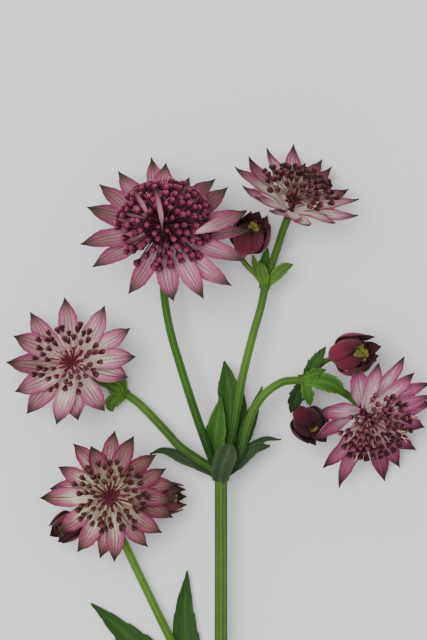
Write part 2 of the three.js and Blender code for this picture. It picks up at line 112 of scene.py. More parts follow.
def stalk(points, radius, ribs, sides, steps, furrow=0.13):
    """A ribbed round stalk, closed at both ends. radius is a function of the share of its length."""
    line = smooth_line(points, steps)
    way = unit(np.gradient(line, axis=0))
    nearly_up = (0, 0.02, 1)
    up = [unit(nearly_up - way[0] * (way[0] @ nearly_up))]
    for w in way[1:]:
        up.append(unit(up[-1] - w * (up[-1] @ w)))
    up = np.array(up)
    r = np.array([radius(s) for s in np.linspace(0, 1, steps + 1)])
    # The ends close over: each end's ring is repeated with no radius, and welded to one point.
    line, way, up = (np.concatenate([a[:1], a, a[-1:]]) for a in (line, way, up))
    r = np.r_[0, r, 0]
    side = np.cross(way, up)
    piece = grid(sides, steps + 2)
    co = places(piece)
    i = np.rint(co[:, 1] * (steps + 2)).astype(int)
    angle = math.pi * co[:, 0]
    crest = 0.5 * (1 + np.cos(ribs * angle))
    radii = (r[i] * (1 - furrow * (1 - crest)))[:, None]
    mark(piece, "rib", crest)
    mark(piece, "cut", i < 2)
    put(piece, line[i] + radii * (np.cos(angle)[:, None] * up[i] + np.sin(angle)[:, None] * side[i]))
    only(piece)
    bpy.ops.object.mode_set(mode="EDIT")
    bpy.ops.mesh.select_all(action="SELECT")
    bpy.ops.mesh.remove_doubles(threshold=1e-4)
    bpy.ops.object.mode_set(mode="OBJECT")
    bpy.ops.object.shade_smooth_by_angle(angle=math.radians(55))
    return piece


def settled(piece, node, material=None):
    """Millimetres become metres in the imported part's place, and the piece takes over its CAD node."""
    put(piece, places(piece) * MILLIMETRE + under_cut_end)
    if material:
        piece.data.materials.append(material)
    piece.name = "look_" + node
    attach(piece, "root")
    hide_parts(node)


def tint(colour):
    """Three numbers, each 0 to 255, are a screen's colour and one is a grey; all else passes unchanged."""
    if isinstance(colour, (int, float)):
        return (colour, colour, colour, 1)
    if isinstance(colour, tuple) and len(colour) == 3:
        return tuple(((c / 255 + 0.055) / 1.055) ** 2.4 for c in colour) + (1,)
    return colour


def node(tree, kind, inputs, **settings):
    """A shader node of a kind; an input is a plain value or another node's output."""
    made = tree.nodes.new("ShaderNode" + kind)
    for key, value in settings.items():
        setattr(made, key, value)
    for socket, value in inputs.items():
        if isinstance(value, bpy.types.NodeSocket):
            tree.links.new(value, made.inputs[socket])
        else:
            made.inputs[socket].default_value = value
    return made


def ramp(tree, factor, stops):
    """Colours at places along a factor."""
    made = node(tree, "ValToRGB", {0: factor})
    stops = [(at, tint(colour)) for at, colour in stops]
    marks = made.color_ramp.elements
    marks[0].position, marks[0].color = stops[0]
    marks[1].position, marks[1].color = stops[-1]
    for at, colour in stops[1:-1]:
        marks.new(at).color = colour
    return made.outputs["Color"]


def mixed(tree, factor, a, b, how="MIX"):
    """Sockets 6, 7 and output 2 are the node's colour ones."""
    sockets = {0: factor, 6: tint(a), 7: tint(b)}
    return node(tree, "Mix", sockets, data_type="RGBA", blend_type=how).outputs[2]


def calc(tree, how, a, b=0):
    return node(tree, "Math", {0: a, 1: b}, operation=how).outputs[0]


def times(tree, a, b):
    return calc(tree, "MULTIPLY", a, b)


def plus(tree, a, b):
    return calc(tree, "ADD", a, b)


def seen(tree, name):
    """What mark() left on the piece."""
    return node(tree, "Attribute", {}, attribute_name=name).outputs["Fac"]


def speckle(tree, scale, detail=3):
    """A fine cloudy pattern in space; the scale is in lumps a metre."""
    where = node(tree, "TexCoord", {}).outputs["Object"]
    settings = {0: where, "Scale": scale, "Detail": detail, "Roughness": 0.6}
    return node(tree, "TexNoise", settings).outputs[0]


def matter(name, sheen=0):
    """A new material; plants and matt paper shine little."""
    made = bpy.data.materials.new(name)
    made.use_nodes = True
    shader = made.node_tree.nodes["Principled BSDF"]
    shader.inputs["Specular IOR Level"].default_value = 0.12
    shader.inputs["Sheen Weight"].default_value = sheen
    return made, made.node_tree, shader


def coat(tree, shader, colour, height, depth, smooth, rough):
    """The colour, on a fine relief, depth metres deep, that is smoother on top than in its hollows."""
    tree.links.new(colour, shader.inputs["Base Color"])
    relief = node(tree, "Bump", {"Height": height, "Distance": depth})
    tree.links.new(relief.outputs[0], shader.inputs["Normal"])
    worn = ramp(tree, height, [(0.25, rough), (0.75, smooth)])
    tree.links.new(worn, shader.inputs["Roughness"])


def stretched(tree, u, v, across, along, shift):
    """Places on a piece's flat map, drawn out to so many units across and along."""
    parts = {0: times(tree, u, across), 1: times(tree, v, along), 2: shift}
    return node(tree, "CombineXYZ", parts).outputs[0]


def fibres(tree, across, along, shift=0):
    """The piece's flat map, across and along, and streaks that run along it."""
    flat = node(tree, "SeparateXYZ", {0: node(tree, "UVMap", {}).outputs[0]})
    u, v = flat.outputs[0], flat.outputs[1]
    where = stretched(tree, u, v, across, along, shift)
    streak = node(tree, "TexNoise", {0: where, "Scale": 1, "Detail": 4, "Roughness": 0.65})
    return u, v, streak.outputs[0]


def stem_matter(name, furrow, rib, green_and_painted_light=((1, 1),), foot=(1, 1, 1)):
    """How light the green is at shares of the length, from the foot's tone on: partly the stem's own
    change of green, partly painted shade at the foot and painted light further up.
    """
    made, tree, shader = matter(name)
    _, run, streak = fibres(tree, across=34, along=5)
    crest = times(tree, seen(tree, "rib"), plus(tree, streak, 0.45))
    colour = mixed(tree, crest, furrow, rib)
    mottle = ramp(tree, speckle(tree, 160), [(0.3, (0.84, 0.86, 0.8, 1)), (0.75, (1.12, 1.1, 1.05, 1))])
    colour = mixed(tree, 1, colour, mottle, "MULTIPLY")
    # Painted light and shade along the stem, over its own change of green.
    grown = ramp(tree, run, [(0.13, (*foot, 1)), *green_and_painted_light])
    colour = mixed(tree, 1, colour, grown, "MULTIPLY")
    pith = (176, 186, 120)
    colour = mixed(tree, seen(tree, "cut"), colour, pith)
    coat(tree, shader, colour, streak, depth=0.00025, smooth=0.38, rough=0.6)
    return made


# Each branch is deep green where it leaves the node and lighter towards its head: partly its own green,
# partly painted shade at the foot, where the node's leaves and stems shade it, and painted light on its
# lighter stretches.
deep = (0.24, 0.34, 0.3)
green_stem = stem_matter("green_stem", (54, 86, 26), (80, 104, 46))
dark_stem = stem_matter("dark_stem", (38, 78, 18), (68, 104, 38), ((0.36, 1), (0.6, 1.15), (1, 1)), deep)
branch_stem = stem_matter(
    "branch_stem", (54, 88, 26), (76, 104, 42), ((0.32, 1), (0.46, 1.4), (0.68, 1), (1, 1)), deep,
)
outer_stem = stem_matter(
    "outer_stem", (50, 86, 26), (76, 104, 44), ((0.34, 0.85), (0.5, 1.25), (1, 1.5)), (0.7, 0.7, 0.7),
)
bright_stem = stem_matter(
    "bright_stem", (66, 102, 30), (90, 122, 46), ((0.42, 0.85), (0.6, 1.1), (0.72, 1.5), (1, 1.4)),
    (0.7, 0.75, 0.7),
)
pale_stem = stem_matter("pale_stem", (78, 106, 38), (110, 138, 62))

# The middle lines, each from its foot to its head.
main_line = [(0, 0, 1.45), (0, 20, 2.7), (0, 37.5, 4), (0, 70, 6), (0, 103, 8)]
branches = {
    "top_left": (dark_stem, [
        (-0.4, 101.5, 8.6), (-1.3, 104.3, 9.1), (-3, 108.5, 9.3), (-6.25, 117.5, 9.2), (-10.25, 130, 8.6),
        (-12.75, 138.75, 8.1), (-14.25, 147.5, 7.8), (-14.5, 155, 8.4), (-14.36, 160, 12.1),
        (-14.5, 162.3, 16.2),
    ]),
    "top_right": (branch_stem, [
        (0.4, 101.5, 7.2), (0.9, 104.3, 7.1), (2, 108, 7.2), (2.9, 111.5, 7.4), (4, 118.75, 7.8),
        (5.5, 127.5, 8), (8, 137.5, 8), (10.25, 145.5, 7.6), (11.2, 150.4, 7.1), (12.15, 153.25, 6.7),
        (14.4, 160.1, 5.4), (15.6, 163.9, 7.4), (17.05, 167.6, 9.8),
    ]),
    "mid_right": (branch_stem, [
        (0.3, 101.8, 8.6), (1.3, 104.2, 9.3), (4.7, 107.75, 9.8), (6.2, 113.1, 10.1), (8.15, 118.8, 10.2),
        (11, 122.8, 10), (14.8, 125.5, 9.6), (17.3, 126.1, 9.2), (20.75, 126, 8.6), (26, 125, 5.6),
        (30.5, 123.2, 3.2), (33.2, 121.25, 4.6), (35.1, 118.9, 8.2),
    ]),
    "mid_left": (outer_stem, [
        (-0.4, 102, 7.2), (-1.6, 103.7, 6.9), (-5.25, 106, 6.8), (-10.25, 109.5, 6), (-14, 113.5, 4.9),
        (-17.75, 117.5, 3.8), (-21.5, 121, 2.7), (-24.6, 123, 2.1), (-29, 125.2, 1.15),
        (-32.6, 126.8, 1.1), (-35.5, 128.1, 3.8), (-36.4, 129.4, 8.2),
    ]),
    "low_left": (bright_stem, [
        (-0.6, 38.5, 4), (-3.5, 43.5, 4.2), (-8, 52.2, 4), (-12.75, 61.25, 3.6), (-18.5, 73, 3.1),
        (-24.25, 85, 2.6), (-27.2, 91.6, 3), (-29.05, 97.85, 6), (-28.4, 97.6, 11.2),
    ]),
}


def branch_radius(s):
    """It swells above its foot, thins on the way up and widens again under the head."""
    return 1.02 + 0.16 * min(1, s * 8) - 0.22 * s + 0.14 * max(0, (s - 0.93) / 0.07)


# The share of the main stem's length at which the lower node sits.
LOWER_NODE = 0.37


def main_radius(s):
    """It thins a little on the way up, and has a swelling at the lower node."""
    return 1.68 - 0.08 * s + 0.16 * math.exp(-(((s - LOWER_NODE) / 0.03) ** 2))


main_stem = stalk(main_line, main_radius, ribs=9, sides=54, steps=90, furrow=0.06)
settled(main_stem, "stem_main", green_stem)
for name, (shade, line) in branches.items():
    branch = stalk(line, branch_radius, ribs=7, sides=42, steps=80, furrow=0.07)
    settled(branch, "stem_" + name, shade)

# SIDE STALKS. Thin stalks that hold one bud each. They are paler and softer than the stems, are grown
# with four blunt ribs, and spring from a fork or from the lower branch.
stalk_lines = {
    "top": [(11, 149.6, 7), (8.7, 152.7, 6.2), (6.4, 155, 4.3), (5.2, 157, 3.1), (5.6, 158.5, 3.6)],
    "right": [
        (20.4, 125.8, 8.6), (23, 128.2, 8.4), (25.4, 130.4, 7.2), (27.1, 131.4, 5.8), (28.6, 131.8, 6.6),
    ],
    "mid": [
        (20.6, 126, 8.5), (19.7, 123.4, 7.6), (18.7, 120.8, 5.8), (19.2, 118.8, 4.6), (19.9, 118.1, 5.3),
    ],
    "low_left": [
        (-25.4, 87.3, 2.8), (-29.5, 91.6, 2.5), (-33, 93, 2.9), (-34.6, 92.4, 4.2), (-35.7, 91.5, 4.9),
    ],
    "low_right": [(-26.9, 89, 2.9), (-24.6, 93.4, 2.6), (-22.2, 95.8, 3), (-19.5, 96.3, 4.5)],
}
for name, line in stalk_lines.items():
    stick = stalk(line, lambda s: 0.68 + 0.12 * max(0, (s - 0.9) / 0.1), ribs=4, sides=16, steps=26)
    settled(stick, "stalk_bud_" + name, pale_stem)

# LEAVES. Whorls of toothed leaf lobes clasp each node with a ribbed sheath. They are thin green blades
# with a pale midrib, slanting veins and small forward teeth that end in a bristle; beneath they are greyer.


def blade(sheet, length, half_width, centre, face, lift, twist=0):
    """Bends a flat millimetre blade along a centre line; its x, y and z say where each point goes."""
    co = places(sheet)
    s, share = co[:, 1] / length, co[:, 0] / half_width
    c = centre(s)
    way = unit(centre(np.minimum(s + 0.004, 1)) - centre(np.maximum(s - 0.004, 0)))
    up = unit(face - way * (way @ face)[:, None])
    side = np.cross(way, up)
    turn = (twist * s)[:, None]
    side, up = side * np.cos(turn) + up * np.sin(turn), up * np.cos(turn) - side * np.sin(turn)
    rise = co[:, 2] + lift * half_width * np.abs(share) ** 1.5
    put(sheet, c + side * co[:, :1] + up * rise[:, None])


def thickened(sheet, thickness):
    """Gives a sheet its thickness and marks which side is the under side."""
    count = len(sheet.data.vertices)
    only(sheet)
    bpy.ops.object.modifier_add(type="SOLIDIFY")
    solidify = sheet.modifiers[-1]
    solidify.thickness = thickness
    solidify.offset = 0
    bpy.ops.object.modifier_apply(modifier=solidify.name)
    mark(sheet, "under", np.arange(len(sheet.data.vertices)) >= count)
    bpy.ops.object.shade_smooth()


def outline(s, root, widest, fullness, waist=1):
    """A blade's half width, as a share of its greatest half width, which lies at the share widest."""
    rise = root + (1 - root) * np.sin(np.pi / 2 * np.minimum(s / widest, 1)) ** waist
    fall = 1 - np.clip((s - widest) / (1 - widest), 0, 1) ** fullness
    return np.where(s < widest, rise, fall)


def joined(pieces):
    only(*pieces)
    if len(pieces) > 1:
        bpy.ops.object.join()
    return pieces[0]


def place_on(line):
    """The place at any share of a line of even steps."""
    at = np.linspace(0, 1, len(line))
    return lambda s: np.stack([np.interp(s, at, line[:, k]) for k in range(3)], 1)


def lobe(shade, width, teeth, points, bite=0.14, root=0.45, widest=0.5, fullness=1.5, lift=0.2):
    """One lobe on a middle line. bite is the depth of its teeth, lift how far its margins turn up."""
    steps = 72
    line = smooth_line(points, steps)
    length = np.linalg.norm(np.diff(line, axis=0), axis=1).sum()
    sheet = grid(16, steps)
    co = places(sheet)
    u, s = co[:, 0], co[:, 1]
    phase = (s * teeth) % 1
    saw = np.where(phase < 0.8, (phase / 0.8) ** 0.8, (1 - phase) / 0.2)
    notch = np.where((s > 0.05) & (s < 0.98), bite * (1 - saw), 0)
    half = width / 2 * outline(s, root, widest, fullness) * (1 - notch * np.abs(u) ** 4)
    midrib = -0.14 * np.exp(-((u / 0.07) ** 2)) * (1 - s)
    slant = 0.07 * np.cos(2 * np.pi * (s * 9 - 1.1 * np.abs(u))) * np.abs(u) * (1 - np.abs(u)) * width / 4
    ripple = 0.05 * width * np.sin(s * 11 + np.sign(u)) * np.abs(u) ** 3
    put(sheet, np.stack([u * half, s * length, midrib + slant + ripple], 1))
    thickened(sheet, 0.42)
    bristles = [sheet]
    for k in range(1, teeth if bite else 0):
        s_tooth = (k - 0.2) / teeth
        reach = width / 2 * float(outline(s_tooth, root, widest, fullness))
        for hand in (-1, 1):
            bpy.ops.mesh.primitive_cone_add(
                vertices=5, radius1=0.14, depth=0.9, rotation=(-math.pi / 2, 0, -0.5 * hand),
                location=(hand * (reach + 0.05), s_tooth * length + 0.2, 0),
            )
            bpy.ops.object.transform_apply()
            bristles.append(bpy.context.object)
    joined(bristles)
    blade(sheet, length, width / 2, place_on(line), (0, 0, 1), lift)
    sheet.data.materials.append(shade)
    return sheet


def off_middle(tree, u):
    """How far a place is from the midrib: 0 on it, 1 at the margin."""
    return calc(tree, "ABSOLUTE", calc(tree, "SUBTRACT", times(tree, u, 2), 1))


def leaf_matter(name, upper, rib, under, margin, glow=None):
    """Greens of the upper side, ribs, under side and margin; glow is the colour near the stem."""
    made, tree, shader = matter(name, sheen=0.05)
    u, v, streak = fibres(tree, across=9, along=7)
    across = off_middle(tree, u)
    mottle = ramp(tree, streak, [(0.3, (0.66, 0.7, 0.62, 1)), (0.7, (1.3, 1.24, 1.14, 1))])
    top = mixed(tree, 1, upper, mottle, "MULTIPLY")
    if glow:
        near_stem = ramp(tree, v, [(0.05, 1), (0.55, 0)])
        top = mixed(tree, times(tree, near_stem, 0.8), top, glow)
    # The blade sinks halfway between the midrib and the margin, and painted shade darkens it there in
    # streaks.
    painted_sunk_shade = ramp(tree, across, [(0.1, 0), (0.42, 0.9), (0.75, 0)])
    top = mixed(tree, times(tree, painted_sunk_shade, streak), top, tuple(0.5 * part for part in upper))
    slant = calc(tree, "SUBTRACT", times(tree, v, 9), times(tree, across, 1.1))
    wave = calc(tree, "ABSOLUTE", calc(tree, "SUBTRACT", calc(tree, "FRACT", slant), 0.5))
    side_veins = ramp(tree, wave, [(0, 0.3), (0.08, 0)])
    top = mixed(tree, side_veins, top, rib)
    midrib = ramp(tree, across, [(0.03, 0.6), (0.1, 0)])
    top = mixed(tree, midrib, top, rib)
    edge = ramp(tree, across, [(0.8, 0), (0.97, 0.6)])
    top = mixed(tree, edge, top, margin)
    low = mixed(tree, 1, under, mottle, "MULTIPLY")
    low = mixed(tree, midrib, low, rib)
    colour = mixed(tree, seen(tree, "under"), top, low)
    # Between the sunken veins the blade is puffed up.
    puffed = calc(tree, "SUBTRACT", 0.6, calc(tree, "MAXIMUM", midrib, side_veins))
    height = times(tree, plus(tree, puffed, streak), 0.6)
    coat(tree, shader, colour, height, depth=0.0003, smooth=0.46, rough=0.64)
    return made


lower_leaf = leaf_matter("lower_leaf", (38, 73, 20), (60, 90, 38), (64, 76, 50), (20, 42, 12))
bright_leaf = leaf_matter(
    "bright_leaf", (50, 94, 26), (84, 122, 52), (82, 110, 52), (88, 120, 58), glow=(70, 118, 28),
)
dark_leaf = leaf_matter(
    "dark_leaf", (44, 80, 24), (66, 100, 42), (64, 92, 42), (26, 48, 14), glow=(36, 70, 16),
)
# A darker copy of the leaf green: painted shade, for a lobe that lies in shadow.
painted_shade_leaf = leaf_matter("painted_shade_leaf", (26, 48, 14), (48, 70, 30), (40, 60, 26), (16, 30, 8))
young_leaf = leaf_matter(
    "young_leaf", (70, 104, 36), (110, 134, 76), (96, 118, 62), (98, 120, 68), glow=(90, 132, 38),
)
grey_leaf = leaf_matter("grey_leaf", (46, 64, 38), (74, 88, 60), (66, 80, 56), (62, 76, 52))


def whorl(node, sheath, radii, lobes, sheath_shade=green_stem):
    """A ribbed sheath round the stem, on its middle line, joined with the lobes that spring from it."""
    low, high = radii

    def sheath_radius(s):
        """It widens upward, and its rim draws in a little."""
        return low + (high - low) * s - 0.3 * max(0, s - 0.8) / 0.2

    clasp = stalk(sheath, sheath_radius, ribs=11, sides=44, steps=14, furrow=0.06)
    clasp.data.materials.append(sheath_shade)
    mark(clasp, "cut", 0)
    settled(joined([clasp] + lobes), node)


whorl("leaves_upper_node", [(0, 101, 7.9), (0, 104.9, 8.05)], (2, 2.85), [
    lobe(grey_leaf, 3.2, teeth=3, bite=0.05, points=[
        (-1.2, 102.2, 7.4), (-5, 104.6, 5.4), (-10, 106.9, 4.3), (-14.5, 108.5, 4.5), (-17.8, 107.6, 5.2),
    ]),
    lobe(grey_leaf, 5.5, teeth=2, bite=0, widest=0.58, root=0.6, fullness=2.8, points=[
        (-0.5, 101, 9.4), (0.2, 104.2, 11.5), (1.4, 107.6, 12.2), (2.6, 110.6, 11.8),
    ]),
    lobe(grey_leaf, 3.2, teeth=3, bite=0.08, fullness=2.4, points=[
        (1.4, 102.6, 8.4), (4.6, 105.6, 8.6), (8.2, 109, 8.4), (12.3, 109.8, 7.6),
    ]),
    lobe(grey_leaf, 2.2, teeth=3, bite=0.05, points=[
        (1.2, 103, 7.4), (3.4, 105.4, 7.4), (7.6, 109.4, 7.2), (11, 111.4, 7), (15.1, 111.3, 7.4),
    ]),
    lobe(bright_leaf, 5.3, teeth=5, bite=0.06, points=[
        (-0.9, 104.2, 6.4), (-1.6, 108.5, 5), (-1.2, 114, 4.9), (0, 122, 5.2),
    ]),
    lobe(dark_leaf, 5.7, teeth=6, bite=0.06, widest=0.7, points=[
        (0.3, 104.2, 5.9), (1.5, 110, 3.9), (2.2, 118, 3.4), (1.6, 126, 3.8), (0.8, 131, 4.4),
    ]),
    lobe(dark_leaf, 3.6, teeth=4, bite=0.06, points=[
        (1.3, 104.2, 6.3), (4, 112, 4.6), (5.4, 118, 4.6), (5.2, 124.2, 5),
    ]),
    lobe(dark_leaf, 3.6, teeth=4, bite=0.06, points=[
        (1.9, 104, 7.2), (5.8, 112, 6.6), (8.2, 118.6, 7), (10.3, 124.6, 7.8),
    ]),
], grey_leaf)
whorl("leaves_right_fork", [(19.2, 126.2, 8.8), (21.6, 126, 8.4)], (1.45, 1.8), [
    lobe(dark_leaf, 3.6, teeth=4, bite=0.3, points=[
        (20.9, 126.8, 9), (22.8, 129.6, 10), (24.6, 132.2, 10.6), (26.1, 134.6, 10.2),
    ]),
    lobe(bright_leaf, 2.8, teeth=3, bite=0.25, points=[
        (20.8, 126.6, 9.6), (23.4, 127.9, 10.9), (26.2, 128.9, 11),
    ]),
    lobe(bright_leaf, 4.6, teeth=6, widest=0.55, bite=0.1, fullness=2, points=[
        (20.9, 126, 9.8), (24.2, 126.1, 10.6), (27.8, 125.1, 10.6), (31.1, 122.9, 10),
    ]),
    # This lobe takes the darker copy, painted shade.
    lobe(painted_shade_leaf, 4.2, teeth=4, bite=0.3, points=[
        (20.3, 125.4, 9.2), (19.2, 122.8, 9.8), (18.2, 120.3, 9.4), (17.5, 118, 8.6),
    ]),
    lobe(bright_leaf, 3.4, teeth=3, bite=0.25, points=[
        (20.8, 125.4, 9.4), (21.7, 122.8, 10), (22.4, 119.9, 9.4),
    ]),
])
whorl("leaves_top_fork", [(10.7, 148.9, 7.3), (11.3, 151, 7.1)], (1.3, 1.7), [
    lobe(young_leaf, 3, teeth=4, bite=0.12, fullness=2.2, points=[
        (11.8, 150.2, 7.8), (14, 152.7, 8.6), (16, 154.4, 8.7), (18, 155.2, 8.2),
    ]),
    lobe(bright_leaf, 3.4, teeth=3, points=[
        (11.2, 150.8, 6), (10.9, 154, 4.6), (11.2, 157, 4.6), (11.6, 159.3, 5),
    ]),
    lobe(young_leaf, 2.5, teeth=3, points=[
        (10.4, 150.6, 7.8), (9.1, 153.8, 8.4), (7.8, 157.5, 8.6),
    ]),
    lobe(young_leaf, 2.9, teeth=2, bite=0.08, fullness=2.4, points=[
        (11, 150.3, 8.7), (10.4, 153, 9.9), (9.8, 155.5, 10),
    ]),
])
whorl("leaves_left_fork", [(-23.6, 122.4, 2.4), (-25.2, 123.4, 2)], (1.3, 1.65), [
    lobe(young_leaf, 3.6, teeth=3, bite=0.08, fullness=2, points=[
        (-24.4, 122, 2.9), (-26.5, 121.3, 3.9), (-27.6, 120, 3.7), (-27.2, 118.3, 2.8),
    ]),
    lobe(young_leaf, 3.6, teeth=3, bite=0.08, points=[
        (-24.8, 122.9, 3.6), (-26.8, 124.3, 4.4), (-29.4, 125.3, 4.8),
    ]),
    lobe(young_leaf, 3, teeth=3, bite=0.08, points=[
        (-24.2, 123.6, 2.9), (-25.2, 126, 3.9), (-27.4, 128.6, 4.3),
    ]),
])
whorl("leaf_lower_node", [(0, 35.3, 3.85), (0, 39.8, 4.15)], (2.1, 2.75), [
    lobe(lower_leaf, 8.6, teeth=9, root=0.5, bite=0.12, lift=0.14, points=[
        (-1.2, 38.5, 3.4), (-9, 47, 1.6), (-19, 57.5, 0.8), (-27, 65, 0.9), (-32.75, 70, 1.7),
    ]),
    lobe(lower_leaf, 7.6, teeth=8, root=0.5, bite=0.1, lift=0.14, points=[
        (-1, 38.9, 3.2), (-5, 48, 1.5), (-8.6, 59, 1), (-9.2, 68, 1.1), (-8.5, 78.25, 2),
    ]),
    lobe(lower_leaf, 6.8, teeth=6, root=0.5, bite=0.14, lift=0.14, points=[
        (1, 38.5, 3.4), (5.2, 44, 1.9), (9.6, 50.2, 1), (13, 57, 1.6),
    ]),
])

# OPEN HEADS, BRACTS. Each head sits in a star of papery bracts in two close whorls: pale and greenish at
# the foot, dusty pink to crimson above, with dark veins, a fine net between them and a blackish point.
BRACT_LENGTH, BRACT_HALF = 20, 2.5
# The veins, from one margin at -1 to the other at 1.
VEINS = (-0.68, -0.36, 0, 0.36, 0.68)


def draw(seed, n):
    """A repeatable draw between -1 and 1."""
    v = math.sin(seed * 12.9898 + n * 78.233) * 43758.5453
    return (v - math.floor(v)) * 2 - 1


def copied(piece):
    only(piece)
    bpy.ops.object.duplicate()
    return bpy.context.object


def flat_bract():
    """One flat bract with raised veins, copied and bent for every place."""
    sheet = grid(14, 32)
    co = places(sheet)
    u, s = co[:, 0], co[:, 1]
    point = 1 - 0.45 * np.clip((s - 0.86) / 0.14, 0, 1)
    waves, fine = np.sin(s * 27 + np.sign(u)), np.sin(s * 62 + 2 * np.sign(u))
    nicks = 0.03 * waves + 0.035 * np.clip(s * 3 - 1.4, 0, 1) * fine
    wide = outline(s, 0.26, 0.6, 2, 1.5) * point * (1 + nicks * np.abs(u) ** 3)
    veins = sum(np.exp(-(((u - at) / 0.07) ** 2)) for at in VEINS)
    put(sheet, np.stack([u * BRACT_HALF * wide, s * BRACT_LENGTH, 0.1 * veins * (1 - s) ** 0.3], 1))
    thickened(sheet, 0.34)
    return sheet


pattern_bract = flat_bract()


def bent_bract(half, centre, face, lift, twist, mood, shade, wave=None, slim_foot=False):
    """A copy of the flat bract, half millimetres wide each side, bent on its middle line and coloured."""
    bract = copied(pattern_bract)
    co = places(bract)
    co[:, 0] *= half / BRACT_HALF
    if wave is not None:
        co[:, 2] += 0.26 * np.abs(co[:, 0] / half) ** 3 * np.sin(co[:, 1] * 0.6 + wave)
    if slim_foot:
        co[:, 0] *= np.clip(0.3 + 1.8 * co[:, 1] / BRACT_LENGTH, 0, 1)
    put(bract, co)
    blade(bract, BRACT_LENGTH, half, centre, face, lift, twist)
    mark(bract, "mood", mood)
    bract.data.materials.append(shade)
    return bract


def bract_matter(name, foot, pale, blush, margin, tip, vein, pale_to, back, dusk=0.5):
    """Colours from the foot to the tip. Each bract's mood, -1 to 1, makes it fresh or dull."""
    made, tree, shader = matter(name, sheen=0.06)
    mood = seen(tree, "mood")
    u, v, fibre = fibres(tree, across=10, along=2, shift=times(tree, mood, 9))
    across = off_middle(tree, u)
    # How far the colour has come: on from the foot, sooner along the margins, and by fibre and by bract.
    wander = calc(tree, "SUBTRACT", fibre, 0.5)
    come = plus(tree, v, times(tree, wander, 0.8))
    come = plus(tree, come, times(tree, mood, 0.13))
    sooner = times(tree, calc(tree, "POWER", across, 2.4), 0.42)
    colour = ramp(tree, times(tree, plus(tree, come, sooner), 0.72), [
        (0, foot), (0.1, pale), (0.72 * pale_to, pale), (0.72 * pale_to + 0.17, blush),
        (0.74, margin), (1, margin),
    ])
    # The veins as dark lines, the outer two thinner and fainter.
    lines = [(0, 0)]
    for side, wide, strong in zip(VEINS, (0.024, 0.036, 0.04, 0.036, 0.024), (0.5, 1, 1, 1, 0.5)):
        at = (side + 1) / 2
        lines += [(at - wide, 0), (at, strong), (at + wide, 0)]
    strand = plus(tree, u, times(tree, wander, 0.16))
    mask = ramp(tree, strand, lines + [(1, 0)])
    strength = ramp(tree, v, [(0, 0.05), (0.3, 0.5), (0.75, 0.95)])
    flat = stretched(tree, u, v, 6, 11, times(tree, mood, 5))
    cells = node(tree, "TexVoronoi", {0: flat, "Scale": 1.0}, feature="DISTANCE_TO_EDGE")
    net = ramp(tree, cells.outputs["Distance"], [(0, 0.4), (0.1, 0)])
    web = times(tree, calc(tree, "MAXIMUM", mask, net), strength)
    # The middle of the outer half dulls to olive, more on some bracts than on others.
    inward = ramp(tree, across, [(0.25, 1), (0.8, 0)])
    moody = plus(tree, come, times(tree, mood, 0.15))
    far = ramp(tree, moody, [(0.45, 0), (0.85, dusk)])
    olive = (116, 104, 80)
    colour = mixed(tree, times(tree, inward, far), colour, olive)
    colour = mixed(tree, web, colour, vein)
    grain = ramp(tree, fibre, [(0.3, (0.86, 0.8, 0.84, 1)), (0.68, 1.14)])
    colour = mixed(tree, 0.9, colour, grain, "MULTIPLY")
    dullness = plus(tree, times(tree, mood, 0.5), 0.5)
    age = ramp(tree, dullness, [(0, 1.1), (0.5, 1), (1, (0.66, 0.7, 0.64, 1))])
    colour = mixed(tree, 1, colour, age, "MULTIPLY")
    ended = plus(tree, v, times(tree, wander, 0.3))
    point = ramp(tree, ended, [(0.76, 0), (0.86, 0.5), (0.94, 0.96)])
    colour = mixed(tree, point, colour, tip)
    behind = ramp(tree, come, [(0, foot), (0.4, back), (0.8, blush)])
    behind = mixed(tree, times(tree, web, 0.75), behind, vein)
    behind = mixed(tree, 0.8, behind, grain, "MULTIPLY")
    behind = mixed(tree, point, behind, tip)
    colour = mixed(tree, seen(tree, "under"), colour, behind)
    height = plus(tree, times(tree, fibre, 0.6), times(tree, web, 0.4))
    coat(tree, shader, colour, height, depth=0.00015, smooth=0.44, rough=0.62)
    return made


def receptacle_matter():
    """The small cushion that bracts and florets spring from: green below, crimson above."""
    made, tree, shader = matter("receptacle")
    _, up, streak = fibres(tree, across=30, along=2)
    crimson = ramp(tree, streak, [(0.35, (60, 8, 26)), (0.65, (110, 26, 54))])
    green = (66, 86, 32)
    colour = mixed(tree, ramp(tree, up, [(0.1, 0), (0.35, 1)]), green, crimson)
    coat(tree, shader, colour, streak, depth=0.0002, smooth=0.45, rough=0.62)
    return made


cushion = receptacle_matter()

